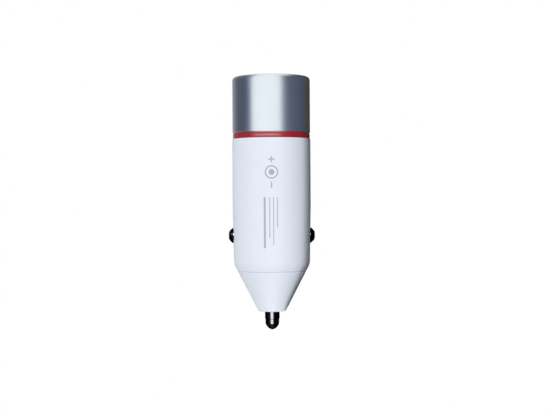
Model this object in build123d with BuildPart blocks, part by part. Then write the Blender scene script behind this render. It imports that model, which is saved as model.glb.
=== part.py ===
"""Car USB charger plug, built as the separate pieces that the real one is put together from.

Millimetres. The plug stands upright on its axis, Z: the USB ports face up and the tip contact faces down.
Z = 0 is the plane where the red ring sits on the barrel. The two side contacts lie along X. The circuit
board stands in the XZ plane, so one USB port is at the front (-Y) and the other at the rear (+Y).
"""

import os
from math import asin, cos, degrees, hypot, radians, sqrt, tan

from build123d import *

os.makedirs("parts", exist_ok=True)

# Clearances
plug_gap = 0.05  # around a piece that is pushed into another for good
slide_gap = 0.05  # around a contact that slides in its guide
touch_gap = 0.02  # between a spring and what it bears on

# Barrel
barrel_diameter = 20.8
barrel_wall = 2.2
barrel_straight = 17.4
taper_length = 15.8
taper_drop = 0.3  # how far the wall comes in along the taper
shoulder_rounding = 3.0
skirt_length = 1.75
wall_root = 0.4  # how far a rib, shelf or pad runs into the wall
seam_rounding = 0.25

# Neck of the barrel, which carries the ring and the head
neck_wall = 1.25
neck_under_port = 0.2
neck_floor_gap = 0.5  # from the panel's legs down to the step in the bore
neck_bevel = 0.3

# Nose cone
nose_length = 10.8
nose_tip_diameter = 7.2
nose_tip_rounding = 0.5
spigot_length = 3.4
spigot_wall = 1.5
spigot_bevel = 0.3
collar_wall = 1.0  # wall of the barrel's lower end, round the nose's spigot
collar_margin = 0.4
snap_bead = 0.12
snap_half_height = 0.5
seat_wall = 2.8
chamber_height = 3.4
funnel_height = 3.6

# Ring and head
ring_height = 1.4
ring_step = 0.07  # the ring sits this far in from the head's wall
ring_rounding = 0.4
head_step = 0.08  # the head sits this far in from the barrel's wall
head_height = 15.1
head_wall = 0.7
head_bevel = 0.3
head_rounding = 1.0
lip_reach = 0.55
lip_thickness = 0.8
port_margin = 0.35  # least rim between a port's corner and the head's lip

# Port panel inside the head
panel_thickness = 1.6
leg_width = 4.0
leg_thickness = 0.9
leg_below_window = 0.8
hook_reach = 0.9
window_height = 1.6
window_side_gap = 0.3
window_cover = 1.4

# USB receptacles
usb_opening_width = 12.5
usb_opening_height = 5.12
usb_wall = 0.3
usb_corner = 0.6
usb_depth = 10.2
usb_inset = 0.2
usb_back = 1.5
tab_width = 1.7
tab_length = 4.2
tab_spacing = 6.4
tab_side_gap = 0.25
tab_from_mouth = 1.6
tab_thickness = 0.25
tab_dip = 0.4
tab_lead_in = 1.05
tongue_width = 11.1
tongue_thickness = 1.84
tongue_gap = 0.72
tongue_inset = 1.0
tongue_bevel = 0.3
usb_contact_width = 1.0
usb_contact_thickness = 0.25
usb_contact_places = (-3.5, -1.0, 1.0, 3.5)
usb_contact_bump = 0.3
usb_contact_bump_length = 2.4
usb_contact_tip_gap = 0.5
usb_contact_tail = 0.6

# Circuit board and the ribs that hold it
board_thickness = 0.8
board_edge_gap = 0.3
board_side_gap = 0.1
board_rounding = 0.4
board_top_gap = 1.2
board_step = 1.0
board_main_length = 20.4
board_tail_length = 9.4
rib_reach = 1.1
rib_thickness = 1.0
rib_top_gap = 1.5
shelf_reach = 0.9
shelf_thickness = 1.0

# Tip contact and its spring
pin_diameter = 3.9
pin_end_diameter = 3.64
pin_proud = 4.9
pin_collar_length = 2.1
pin_nose_length = 1.6
pin_nose_middle = (1.3, 0.7)  # radius and height above the tip, half-way round the nose
pin_end_flat = 0.36
pin_flange_diameter = 5.8
pin_flange_thickness = 1.0
pin_stub_diameter = 3.0
pin_stub_length = 1.6
spring_diameter = 4.6
spring_wire = 0.5
spring_turns = 6
terminal_thickness = 0.4
terminal_ear_width = 3.0
terminal_ear_length = 2.6

# Side contacts and their springs
button_diameter = 4.2
button_proud = 1.22
button_crown_diameter = 1.8
button_crown_rise = 0.06
button_dome_middle = (0.64, 1.65)  # height above the barrel and radius, half-way up the dome
button_below_tail_top = 4.2
button_flange_diameter = 5.4
button_flange_thickness = 0.7
pad_margin = 0.3
pad_proud = 0.15
bow_room = 2.7  # from the board's edge to the back of the contact
bow_thickness = 0.3
bow_width = 3.2
bow_slope = 42  # degrees
bow_bend = 1.0
bow_foot = 0.9

# Converter parts on the board
chip_above_shelf = 4.9
core_below_step = 5.85
can_diameter = 6.3
can_length = 7.7
can_wall_gap = 0.17
can_groove = 0.3
can_bevel = 0.3
lead_diameter = 0.5
lead_spacing = 2.5
lead_drop = 0.9
core_diameter = 7.8
core_height = 5.0
core_flange = 1.0
core_post_diameter = 4.0
winding_diameter = 7.0
winding_gap = 0.05
chip_length = 4.9
chip_width = 3.9
chip_height = 1.5
chip_bevel = 0.2
chip_stand = 0.1
chip_pitch = 1.27
chip_lead_width = 0.41
chip_lead_thickness = 0.2
chip_lead_reach = 1.05
chip_lead_bend = 0.15
chip_rows = 4
diode_length = 4.3
diode_width = 2.6
diode_height = 2.1
diode_draft = 4  # degrees
strap_width = 1.4
strap_thickness = 0.2
fuse_length = 5.2
fuse_width = 2.6
fuse_height = 1.8
fuse_cap = 1.2
passive_length = 2.0
passive_width = 1.25
passive_height = 0.7

# Outline worked out from those sizes
barrel_radius = barrel_diameter / 2
shoulder_radius = barrel_radius - taper_drop
nose_tip_radius = nose_tip_diameter / 2
straight_end = -barrel_straight
shoulder_height = straight_end - taper_length
seam_height = shoulder_height - skirt_length
nose_tip_height = seam_height - nose_length
cone_slope = (shoulder_radius - nose_tip_radius) / (skirt_length + nose_length)
seam_radius = shoulder_radius - cone_slope * skirt_length

# The head is flush with the barrel, or wider where the two ports need the room
usb_width = usb_opening_width + 2 * usb_wall
usb_height = usb_opening_height + 2 * usb_wall
port_corner = (usb_width / 2 - usb_corner, board_thickness / 2 + usb_height - usb_corner)
port_reach = hypot(*port_corner) + usb_corner
head_radius = max(barrel_radius - head_step, port_reach + port_margin + lip_reach + head_wall)
head_bore_radius = head_radius - head_wall
head_bottom = ring_height
head_top = head_bottom + head_height
panel_top = head_top - lip_thickness
panel_bottom = panel_top - panel_thickness
panel_radius = head_bore_radius - plug_gap
ring_radius = head_radius - ring_step
neck_radius = head_bore_radius - plug_gap
neck_bore_radius = neck_radius - neck_wall
bore_radius = barrel_radius - barrel_wall
collar_radius = seam_radius - collar_wall

# Places of the hidden pieces worked out from the outline
usb_mouth = panel_top - usb_inset
usb_floor = usb_mouth - usb_depth
usb_centre = board_thickness / 2 + usb_height / 2
usb_outer_wall = usb_centre + usb_opening_height / 2 + usb_wall / 2
tongue_tip = usb_mouth - tongue_inset
tongue_centre = usb_centre + usb_opening_height / 2 - tongue_gap - tongue_thickness / 2
tongue_face = tongue_centre - tongue_thickness / 2

neck_height = usb_floor - neck_under_port
window_top = neck_height - window_cover
window_bottom = window_top - window_height
leg_bottom = window_bottom - leg_below_window
leg_face = sqrt(neck_bore_radius**2 - (leg_width / 2) ** 2) - plug_gap
neck_floor = leg_bottom - neck_floor_gap

board_top = panel_bottom - board_top_gap
board_step_height = -board_step
shelf_height = board_step_height - board_main_length
board_bottom = shelf_height - board_tail_length
board_half = bore_radius - board_edge_gap
board_head_half = usb_width / 2 - 2 * usb_wall
rib_face = bore_radius - rib_reach

pin_radius = pin_diameter / 2
pin_seat = nose_tip_height + seat_wall
pin_tip = nose_tip_height - pin_proud
pin_flange_top = pin_seat + pin_flange_thickness
spigot_radius = collar_radius - plug_gap
spigot_top = seam_height + spigot_length
collar_top = spigot_top + collar_margin
snap_height = seam_height + spigot_length / 2

button_radius = button_diameter / 2
button_height = shelf_height - button_below_tail_top
button_surface = barrel_radius - taper_drop * (straight_end - button_height) / taper_length
button_flange_radius = button_flange_diameter / 2
pad_radius = button_flange_radius + pad_margin
pad_face = sqrt(bore_radius**2 - pad_radius**2) - pad_proud
button_back = pad_face - button_flange_thickness
board_tail_half = button_back - bow_room


def filled_outline(corners):
    """Fill a closed outline. A corner is its distance from the axis, its height and its rounding."""
    with BuildLine() as outline:
        places = [(across, up) for across, up, rounding in corners]
        roundings = [rounding for across, up, rounding in corners]
        FilletPolyline(places, radius=roundings, close=True)
    make_face(outline.edges())


def port_plane(facing, height):
    """A level plane whose y points outward from the board, to the front (-1) or the rear (1)."""
    return Plane(origin=(0, 0, height), x_dir=(facing, 0, 0), z_dir=(0, 0, 1))


def side_plane(facing, aside=0):
    """An upright plane whose x points outward from the board and whose y points up."""
    return Plane(origin=(aside * facing, 0, 0), x_dir=(0, facing, 0), z_dir=(facing, 0, 0))


def board_plane(facing):
    """The board's front (-1) or rear (1) face, with y up."""
    return Plane(origin=(0, facing * board_thickness / 2, 0), x_dir=(-facing, 0, 0), z_dir=(0, facing, 0))


# Barrel: a turned shell with ribs for the board, guides for the side contacts and windows for the hooks
with BuildPart() as body_shell:
    with BuildSketch(Plane.XZ):
        filled_outline(
            [
                (neck_bore_radius, neck_height, 0),
                (neck_radius - neck_bevel, neck_height, 0),
                (neck_radius, neck_height - neck_bevel, 0),
                (neck_radius, 0, 0),
                (barrel_radius, 0, 0),
                (barrel_radius, straight_end, 0),
                (shoulder_radius, shoulder_height, shoulder_rounding),
                (seam_radius, seam_height, seam_rounding),
                (collar_radius, seam_height, 0),
                (collar_radius, snap_height - snap_half_height, 0),
                (collar_radius + snap_bead, snap_height, 0),
                (collar_radius, snap_height + snap_half_height, 0),
                (collar_radius, collar_top, 0),
                (bore_radius, collar_top, 0),
                (bore_radius, neck_floor, 0),
                (neck_bore_radius, neck_floor, 0),
            ]
        )
    revolve(axis=Axis.Z)
    rib_aside = board_thickness / 2 + board_side_gap + rib_thickness / 2
    rib_length = rib_reach + wall_root
    shelf_length = shelf_reach + wall_root
    root_radius = bore_radius + wall_root
    with BuildSketch(Plane.XY.offset(shelf_height)):
        with GridLocations(2 * root_radius - rib_length, 2 * rib_aside, 2, 2):
            Rectangle(rib_length, rib_thickness)
    extrude(amount=board_step_height - rib_top_gap - shelf_height)
    with BuildSketch(Plane.XY.offset(shelf_height - shelf_thickness)):
        with GridLocations(2 * root_radius - shelf_length, 0, 2, 1):
            Rectangle(shelf_length, 2 * rib_aside + rib_thickness)
    extrude(amount=shelf_thickness)
    for side in (-1, 1):
        with BuildSketch(Plane(origin=(side * pad_face, 0, button_height), z_dir=(side, 0, 0))):
            Circle(pad_radius)
        extrude(amount=root_radius - pad_face)
    with BuildSketch(Plane.YZ):
        with Locations((0, button_height)):
            Circle(button_radius + slide_gap)
        with Locations((0, (window_top + window_bottom) / 2)):
            Rectangle(leg_width + 2 * window_side_gap, window_height)
    extrude(amount=barrel_diameter, both=True, mode=Mode.SUBTRACT)

# Nose cone: its spigot snaps into the barrel's bore, and its inside guides the tip contact
with BuildPart() as nose_cone:
    with BuildSketch(Plane.XZ):
        spigot_bore = spigot_radius - spigot_wall
        chamber_radius = pin_flange_diameter / 2 + slide_gap
        pin_bore = pin_radius + slide_gap
        chamber_top = pin_seat + chamber_height
        filled_outline(
            [
                (spigot_bore, spigot_top, 0),
                (spigot_radius - spigot_bevel, spigot_top, 0),
                (spigot_radius, spigot_top - spigot_bevel, 0),
                (spigot_radius, snap_height + snap_half_height, 0),
                (spigot_radius + snap_bead, snap_height, 0),
                (spigot_radius, snap_height - snap_half_height, 0),
                (spigot_radius, seam_height, 0),
                (seam_radius, seam_height, seam_rounding),
                (nose_tip_radius, nose_tip_height, nose_tip_rounding),
                (pin_bore, nose_tip_height, 0),
                (pin_bore, pin_seat, 0),
                (chamber_radius, pin_seat, 0),
                (chamber_radius, chamber_top, 0),
                (spigot_bore, chamber_top + funnel_height, 0),
            ]
        )
    revolve(axis=Axis.Z)

# Red ring clamped between the barrel and the head
with BuildPart() as accent_ring:
    with BuildSketch(Plane.XZ):
        filled_outline(
            [
                (neck_radius + plug_gap, 0, 0),
                (ring_radius, 0, ring_rounding),
                (ring_radius, ring_height, ring_rounding),
                (neck_radius + plug_gap, ring_height, 0),
            ]
        )
    revolve(axis=Axis.Z)

# Metal head: a sleeve pressed on the neck, with a lip over the port panel, a rounded rim and a bevelled foot
with BuildPart() as head_shell:
    with BuildSketch(Plane.XZ):
        filled_outline(
            [
                (head_bore_radius, head_bottom, 0),
                (head_radius - head_bevel, head_bottom, 0),
                (head_radius, head_bottom + head_bevel, 0),
                (head_radius, head_top, head_rounding),
                (head_bore_radius - lip_reach, head_top, 0),
                (head_bore_radius - lip_reach, panel_top, 0),
                (head_bore_radius, panel_top, 0),
            ]
        )
    revolve(axis=Axis.Z)

# Port panel: a disc under the head's lip, with two openings and two legs that hook into the neck's windows
with BuildPart() as port_panel:
    with BuildSketch(Plane.XY.offset(panel_bottom)):
        Circle(panel_radius)
        with Locations((0, -usb_centre), (0, usb_centre)):
            RectangleRounded(
                usb_width + 2 * plug_gap, usb_height + 2 * plug_gap, usb_corner + plug_gap, mode=Mode.SUBTRACT
            )
    extrude(amount=panel_thickness)
    with BuildSketch(Plane.XZ):
        for side in (-1, 1):
            with BuildLine():
                Polyline(
                    (side * (leg_face - leg_thickness), panel_bottom),
                    (side * leg_face, panel_bottom),
                    (side * leg_face, window_top - plug_gap),
                    (side * (leg_face + hook_reach), window_top - plug_gap),
                    (side * leg_face, window_bottom + plug_gap),
                    (side * leg_face, leg_bottom),
                    (side * (leg_face - leg_thickness), leg_bottom),
                    close=True,
                )
            make_face()
    extrude(amount=leg_width / 2, both=True)


def usb_shell(facing):
    """Steel shield of one receptacle, with two sprung tabs cut from its outer wide wall."""
    with BuildPart() as shell:
        with BuildSketch(port_plane(facing, usb_floor)):
            with Locations((0, usb_centre)):
                RectangleRounded(usb_width, usb_height, usb_corner)
                RectangleRounded(
                    usb_opening_width, usb_opening_height, usb_corner - usb_wall, mode=Mode.SUBTRACT
                )
        extrude(amount=usb_depth)
        tab_root = usb_mouth - tab_from_mouth
        tab_end = tab_root - tab_length
        with BuildSketch(port_plane(facing, tab_end - tab_side_gap)):
            with Locations((-tab_spacing / 2, usb_outer_wall), (tab_spacing / 2, usb_outer_wall)):
                Rectangle(tab_width + 2 * tab_side_gap, 2 * usb_wall)
        extrude(amount=tab_length + tab_side_gap, mode=Mode.SUBTRACT)
        for aside in (-tab_spacing / 2, tab_spacing / 2):
            with BuildSketch(side_plane(facing, aside)):
                with BuildLine():
                    FilletPolyline(
                        (usb_outer_wall, tab_root + usb_wall),
                        (usb_outer_wall, tab_root - usb_wall),
                        (usb_outer_wall - tab_dip, tab_end + tab_lead_in),
                        (usb_outer_wall - tab_dip / 2, tab_end),
                        radius=tab_thickness,
                    )
                trace(line_width=tab_thickness)
            extrude(amount=tab_width / 2, both=True)
    return shell


def usb_tongue(facing):
    """Moulded insert of one receptacle: a back wall and the tongue that carries the contacts."""
    with BuildPart() as tongue:
        with BuildSketch(port_plane(facing, usb_floor)):
            with Locations((0, usb_centre)):
                RectangleRounded(
                    usb_opening_width - 2 * plug_gap, usb_opening_height - 2 * plug_gap, usb_corner - usb_wall
                )
        extrude(amount=usb_back)
        with BuildSketch(port_plane(facing, usb_floor)):
            with Locations((0, tongue_centre)):
                Rectangle(tongue_width, tongue_thickness)
        extrude(amount=tongue_tip - usb_floor)
        tip_edges = tongue.faces().sort_by(Axis.Z)[-1].edges()
        chamfer(tip_edges, length=tongue_bevel)
        with BuildSketch(port_plane(facing, usb_floor)):
            for place in usb_contact_places:
                with Locations((place, tongue_face - usb_contact_thickness / 2)):
                    Rectangle(usb_contact_width + 2 * plug_gap, usb_contact_thickness + 2 * plug_gap)
        extrude(amount=usb_back, mode=Mode.SUBTRACT)
    return tongue


def usb_contacts(facing):
    """Four sprung contacts of one receptacle, from the tongue's inner face through its back to the board."""
    line = tongue_face - usb_contact_thickness / 2
    tip = tongue_tip - usb_contact_tip_gap
    with BuildPart() as contacts:
        for place in usb_contact_places:
            with BuildSketch(side_plane(facing, place)):
                with BuildLine():
                    FilletPolyline(
                        (line, tip),
                        (line - usb_contact_bump, tip - usb_contact_bump_length / 2),
                        (line, tip - usb_contact_bump_length),
                        (line, usb_floor - usb_contact_tail),
                        (board_thickness / 2, usb_floor - usb_contact_tail),
                        radius=usb_contact_thickness,
                    )
                trace(line_width=usb_contact_thickness)
            extrude(amount=usb_contact_width / 2, both=True)
    return contacts


usb_shell_front = usb_shell(-1)
usb_shell_rear = usb_shell(1)
usb_tongue_front = usb_tongue(-1)
usb_tongue_rear = usb_tongue(1)
usb_contacts_front = usb_contacts(-1)
usb_contacts_rear = usb_contacts(1)

# Circuit board: wide between the ribs, narrower between the receptacles and between the side contacts
with BuildPart() as circuit_board:
    with BuildSketch(Plane.XZ):
        right_edge = [
            (board_tail_half, board_bottom, board_rounding),
            (board_tail_half, shelf_height, 0),
            (board_half, shelf_height, 0),
            (board_half, board_step_height, board_rounding),
            (board_head_half, board_step_height, board_rounding),
            (board_head_half, board_top, board_rounding),
        ]
        left_edge = [(-aside, height, rounding) for aside, height, rounding in reversed(right_edge)]
        filled_outline(right_edge + left_edge)
    extrude(amount=board_thickness / 2, both=True)

# Converter chip on the rear face, on four bent leads each side
chip_middle = shelf_height + chip_above_shelf
with BuildPart() as converter_chip:
    with BuildSketch(board_plane(1).offset(chip_stand)):
        with Locations((0, chip_middle)):
            Rectangle(chip_width, chip_length)
    extrude(amount=chip_height - chip_stand)
    chamfer(converter_chip.edges().filter_by(Axis.Y, reverse=True), length=chip_bevel)
    lead_level = board_thickness / 2 + chip_height / 2
    foot_level = board_thickness / 2 + chip_lead_thickness / 2
    for row in range(chip_rows):
        lead_height = chip_middle + (row - (chip_rows - 1) / 2) * chip_pitch
        with BuildSketch(Plane.XY.offset(lead_height)):
            for side in (-1, 1):
                with BuildLine():
                    FilletPolyline(
                        (side * (chip_width / 2 - chip_lead_thickness), lead_level),
                        (side * (chip_width / 2 + chip_lead_reach / 3), lead_level),
                        (side * (chip_width / 2 + chip_lead_reach / 2), foot_level),
                        (side * (chip_width / 2 + chip_lead_reach), foot_level),
                        radius=chip_lead_bend,
                    )
                trace(line_width=chip_lead_thickness)
        extrude(amount=chip_lead_width / 2, both=True)

# Inductor on the rear face: a ferrite drum and the copper wound on it
core_middle = board_step_height - core_below_step
with BuildPart() as inductor_core:
    with BuildSketch(board_plane(1)):
        with Locations((0, core_middle)):
            Circle(core_diameter / 2)
    extrude(amount=core_flange)
    with BuildSketch(board_plane(1)):
        with Locations((0, core_middle)):
            Circle(core_post_diameter / 2)
    extrude(amount=core_height)
    with BuildSketch(board_plane(1).offset(core_height - core_flange)):
        with Locations((0, core_middle)):
            Circle(core_diameter / 2)
    extrude(amount=core_flange)

with BuildPart() as inductor_winding:
    with BuildSketch(board_plane(1).offset(core_flange + winding_gap)):
        with Locations((0, core_middle)):
            Circle(winding_diameter / 2)
            Circle(core_post_diameter / 2 + winding_gap, mode=Mode.SUBTRACT)
    extrude(amount=core_height - 2 * core_flange - 2 * winding_gap)


# The two capacitors lie on the board's front face, out against the bore's wall
can_radius = can_diameter / 2
can_axis = -(board_thickness / 2 + can_radius)
can_aside = sqrt((bore_radius - can_radius - can_wall_gap) ** 2 - can_axis**2)


def electrolytic(aside, base):
    """Capacitor lying on the board: a crimped can, with two leads bent down to the board."""
    with BuildPart() as can:
        with BuildSketch(Plane(origin=(aside, can_axis, 0), x_dir=(1, 0, 0), z_dir=(0, -1, 0))):
            filled_outline(
                [
                    (0, base, 0),
                    (can_radius - can_bevel, base, 0),
                    (can_radius, base - can_bevel, 0),
                    (can_radius, base - can_bevel - can_groove, 0),
                    (can_radius - can_groove, base - can_bevel - 2 * can_groove, 0),
                    (can_radius, base - can_bevel - 3 * can_groove, 0),
                    (can_radius, base - can_length + can_bevel, 0),
                    (can_radius - can_bevel, base - can_length, 0),
                    (0, base - can_length, 0),
                ]
            )
        revolve(axis=Axis((aside, can_axis, 0), (0, 0, 1)))
        for side in (-1, 1):
            lead_aside = aside + side * lead_spacing / 2
            with BuildLine() as lead:
                FilletPolyline(
                    (lead_aside, can_axis, base - can_groove),
                    (lead_aside, can_axis, base + lead_drop),
                    (lead_aside, -board_thickness / 2, base + lead_drop),
                    radius=lead_diameter,
                )
            with BuildSketch(Plane(origin=lead.line @ 0, z_dir=lead.line % 0)):
                Circle(lead_diameter / 2)
            sweep(path=lead.line)
    return can


input_capacitor = electrolytic(-can_aside, shelf_height + can_length + lead_drop)
output_capacitor = electrolytic(can_aside, board_step_height - 2 * lead_drop)

# What stands beside the chip or the inductor is midway between it and the ribs
beside_chip = (chip_width / 2 + chip_lead_reach + rib_face) / 2
beside_core = (core_diameter / 2 + rib_face) / 2

# Rectifier on the rear face: a moulded block with a flat strap at each end
with BuildPart() as rectifier_diode:
    with BuildSketch(board_plane(1).offset(strap_thickness)):
        with Locations((beside_chip, chip_middle)):
            Rectangle(diode_width, diode_length)
    extrude(amount=diode_height - strap_thickness, taper=diode_draft)
    with BuildSketch(board_plane(1)):
        for end in (-1, 1):
            with Locations((beside_chip, chip_middle + end * diode_length / 2)):
                Rectangle(strap_width, strap_width)
    extrude(amount=strap_thickness)

# Fuse on the tail's front face: a ceramic block with two metal end caps
fuse_middle = shelf_height - fuse_length / 2 - board_rounding
with BuildPart() as input_fuse:
    with BuildSketch(board_plane(-1).offset(plug_gap)):
        with Locations((0, fuse_middle)):
            Rectangle(fuse_width - 2 * plug_gap, fuse_length)
    extrude(amount=fuse_height - 2 * plug_gap)
    with BuildSketch(board_plane(-1)):
        for end in (-1, 1):
            with Locations((0, fuse_middle + end * (fuse_length - fuse_cap) / 2)):
                Rectangle(fuse_width, fuse_cap)
    extrude(amount=fuse_height)

# Small chip resistors and capacitors, two columns on the rear face
with BuildPart() as chip_passives:
    with BuildSketch(board_plane(1)):
        with Locations((-beside_chip, chip_middle)):
            with GridLocations(passive_length, 2 * passive_width, 1, 3):
                Rectangle(passive_length, passive_width)
        with Locations((beside_core, core_middle)):
            with GridLocations(passive_width, 2 * passive_length, 1, 3):
                Rectangle(passive_width, passive_length)
    extrude(amount=passive_height)

# Positive terminal: a brass disc on the board's lower end, with two ears that grip the board
terminal_bottom = board_bottom - terminal_thickness
with BuildPart() as positive_terminal:
    with BuildSketch(Plane.XY.offset(terminal_bottom)):
        Circle(spring_diameter / 2 + spring_wire)
    extrude(amount=terminal_thickness)
    with BuildSketch(Plane.XY.offset(terminal_bottom)):
        ear_aside = (board_thickness + terminal_thickness) / 2
        with Locations((0, -ear_aside), (0, ear_aside)):
            Rectangle(terminal_ear_width, terminal_thickness)
    extrude(amount=terminal_thickness + terminal_ear_length)

# Coil spring between the tip contact's flange and the terminal
with BuildPart() as contact_spring:
    spring_bottom = pin_flange_top + touch_gap + spring_wire / 2
    spring_top = terminal_bottom - touch_gap - spring_wire / 2
    with BuildLine() as coil:
        Helix(
            pitch=(spring_top - spring_bottom) / spring_turns,
            height=spring_top - spring_bottom,
            radius=(spring_diameter - spring_wire) / 2,
            center=(0, 0, spring_bottom),
        )
    with BuildSketch(Plane(origin=coil.line @ 0, z_dir=coil.line % 0)):
        Circle(spring_wire / 2)
    sweep(path=coil.line, is_frenet=True)

# Tip contact: a turned pin with a flange on the nose's seat, a rounded end and a stub inside the spring
with BuildPart() as centre_contact:
    with BuildSketch(Plane.XZ):
        with BuildLine():
            end_radius = pin_end_diameter / 2
            collar_end = nose_tip_height - pin_collar_length
            nose_start = pin_tip + pin_nose_length
            Line((0, pin_tip), (pin_end_flat / 2, pin_tip))
            ThreePointArc(
                (pin_end_flat / 2, pin_tip),
                (pin_nose_middle[0], pin_tip + pin_nose_middle[1]),
                (end_radius, nose_start),
            )
            Polyline(
                (end_radius, nose_start),
                (end_radius, collar_end),
                (pin_radius, collar_end + (pin_radius - end_radius)),
                (pin_radius, pin_seat),
                (pin_flange_diameter / 2, pin_seat),
                (pin_flange_diameter / 2, pin_flange_top),
                (pin_stub_diameter / 2, pin_flange_top),
                (pin_stub_diameter / 2, pin_flange_top + pin_stub_length),
                (0, pin_flange_top + pin_stub_length),
                (0, pin_tip),
            )
        make_face()
    revolve(axis=Axis.Z)


def ground_contact(side):
    """Side contact on the left (-1) or right (1): a domed button whose flange rests on the guide's pad."""
    with BuildPart() as contact:
        with BuildSketch(Plane(origin=(0, 0, button_height), x_dir=(side, 0, 0), z_dir=(0, -side, 0))):
            with BuildLine():
                crown_radius = button_crown_diameter / 2
                crown = button_surface + button_proud
                crown_edge = crown - button_crown_rise
                crown_curve = (crown_radius**2 + button_crown_rise**2) / (2 * button_crown_rise)
                Polyline(
                    (crown, 0),
                    (button_back, 0),
                    (button_back, button_flange_radius),
                    (pad_face, button_flange_radius),
                    (pad_face, button_radius),
                    (button_surface, button_radius),
                )
                ThreePointArc(
                    (button_surface, button_radius),
                    (button_surface + button_dome_middle[0], button_dome_middle[1]),
                    (crown_edge, crown_radius),
                )
                JernArc((crown, 0), (0, 1), crown_curve, degrees(asin(crown_radius / crown_curve)))
            make_face()
        revolve(axis=Axis((0, 0, button_height), (1, 0, 0)))
    return contact


def ground_spring(side):
    """Bow spring from the board's edge to the back of the side contact's flange."""
    inner = board_tail_half + bow_thickness / 2
    crest = button_back - touch_gap - bow_thickness / 2
    corner = crest + bow_bend * (1 / cos(radians(bow_slope)) - 1)
    half_span = (corner - inner) / tan(radians(bow_slope))
    with BuildPart() as spring:
        with BuildSketch(Plane.XZ):
            with BuildLine():
                FilletPolyline(
                    (side * inner, button_height + half_span + bow_foot),
                    (side * inner, button_height + half_span),
                    (side * corner, button_height),
                    (side * inner, button_height - half_span),
                    (side * inner, button_height - half_span - bow_foot),
                    radius=bow_bend,
                )
            trace(line_width=bow_thickness)
        extrude(amount=bow_width / 2, both=True)
    return spring


ground_contact_left = ground_contact(-1)
ground_contact_right = ground_contact(1)
ground_spring_left = ground_spring(-1)
ground_spring_right = ground_spring(1)

pieces = {
    "body_shell": body_shell,
    "nose_cone": nose_cone,
    "accent_ring": accent_ring,
    "head_shell": head_shell,
    "port_panel": port_panel,
    "usb_shell_front": usb_shell_front,
    "usb_shell_rear": usb_shell_rear,
    "usb_tongue_front": usb_tongue_front,
    "usb_tongue_rear": usb_tongue_rear,
    "usb_contacts_front": usb_contacts_front,
    "usb_contacts_rear": usb_contacts_rear,
    "circuit_board": circuit_board,
    "converter_chip": converter_chip,
    "inductor_core": inductor_core,
    "inductor_winding": inductor_winding,
    "input_capacitor": input_capacitor,
    "output_capacitor": output_capacitor,
    "rectifier_diode": rectifier_diode,
    "input_fuse": input_fuse,
    "chip_passives": chip_passives,
    "positive_terminal": positive_terminal,
    "contact_spring": contact_spring,
    "centre_contact": centre_contact,
    "ground_contact_left": ground_contact_left,
    "ground_contact_right": ground_contact_right,
    "ground_spring_left": ground_spring_left,
    "ground_spring_right": ground_spring_right,
}
for name, piece in pieces.items():
    piece.part.label = name
    export_step(piece.part, f"parts/{name}.step")
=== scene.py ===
# %% [markdown]
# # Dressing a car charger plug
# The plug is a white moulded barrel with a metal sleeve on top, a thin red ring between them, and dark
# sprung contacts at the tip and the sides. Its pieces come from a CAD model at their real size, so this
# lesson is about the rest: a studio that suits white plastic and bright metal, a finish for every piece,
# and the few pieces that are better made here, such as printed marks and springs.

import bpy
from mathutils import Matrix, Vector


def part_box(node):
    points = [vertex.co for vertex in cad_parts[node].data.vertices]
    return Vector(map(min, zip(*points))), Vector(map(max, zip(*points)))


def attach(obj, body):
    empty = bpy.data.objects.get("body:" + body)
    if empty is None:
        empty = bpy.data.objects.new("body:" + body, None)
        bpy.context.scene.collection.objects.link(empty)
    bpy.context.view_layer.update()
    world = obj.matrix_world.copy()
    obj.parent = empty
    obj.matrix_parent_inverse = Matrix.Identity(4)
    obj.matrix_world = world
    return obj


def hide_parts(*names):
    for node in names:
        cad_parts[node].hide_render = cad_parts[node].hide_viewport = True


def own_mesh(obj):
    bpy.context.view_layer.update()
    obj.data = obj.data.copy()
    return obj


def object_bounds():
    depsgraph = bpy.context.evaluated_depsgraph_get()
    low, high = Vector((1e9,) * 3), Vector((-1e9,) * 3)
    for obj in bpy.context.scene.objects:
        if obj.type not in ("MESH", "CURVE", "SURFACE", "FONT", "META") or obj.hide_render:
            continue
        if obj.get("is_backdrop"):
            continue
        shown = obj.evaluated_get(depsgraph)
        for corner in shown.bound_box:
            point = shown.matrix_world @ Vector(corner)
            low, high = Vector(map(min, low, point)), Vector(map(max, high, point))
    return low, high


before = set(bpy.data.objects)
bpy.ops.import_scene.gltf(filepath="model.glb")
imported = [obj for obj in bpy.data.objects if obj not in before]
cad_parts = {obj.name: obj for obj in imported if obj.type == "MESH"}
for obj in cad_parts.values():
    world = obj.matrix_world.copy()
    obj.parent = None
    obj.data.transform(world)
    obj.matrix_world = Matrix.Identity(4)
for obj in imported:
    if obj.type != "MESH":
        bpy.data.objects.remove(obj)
cad_low, cad_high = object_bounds()
print("CAD pieces:", len(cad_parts), "height in mm:", round(1000 * (cad_high.z - cad_low.z), 2))

# %% Tools for the lesson
from math import atan2, cos, pi, radians, sin, tan

import bmesh
import bpy
from mathutils import Vector

MM = 0.001
bpy.ops.object.select_all(action="DESELECT")
print("Blender", bpy.app.version_string, "works in metres, so a millimetre is", MM)

# %% [markdown]
# ## The camera
# The photograph looks at the plug squarely from the front, from about a third of a metre away, with a
# longish lens. A camera can be aimed with a constraint, but three plain numbers are easier to adjust:
# how far it stands, how high it is, and how far it is to the side. The smallest roll copies the lean of
# the plug in the frame.

# %% Stand the camera in front
camera_distance = 340 * MM
camera_aside = 0.48 * MM
camera_height = -17.54 * MM
camera_roll = radians(0.33)
bpy.ops.object.camera_add(
    location=(camera_aside, -camera_distance, camera_height), rotation=(pi / 2, camera_roll, 0)
)
camera = bpy.context.object
camera.name = "front_camera"
camera.data.lens = 84
camera.data.sensor_width = 36
camera.data.clip_start = 10 * MM
bpy.context.scene.camera = camera
bpy.context.scene.view_settings.view_transform = "Standard"
print("Camera stands", camera_distance, "m in front of the plug's axis")

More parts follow.
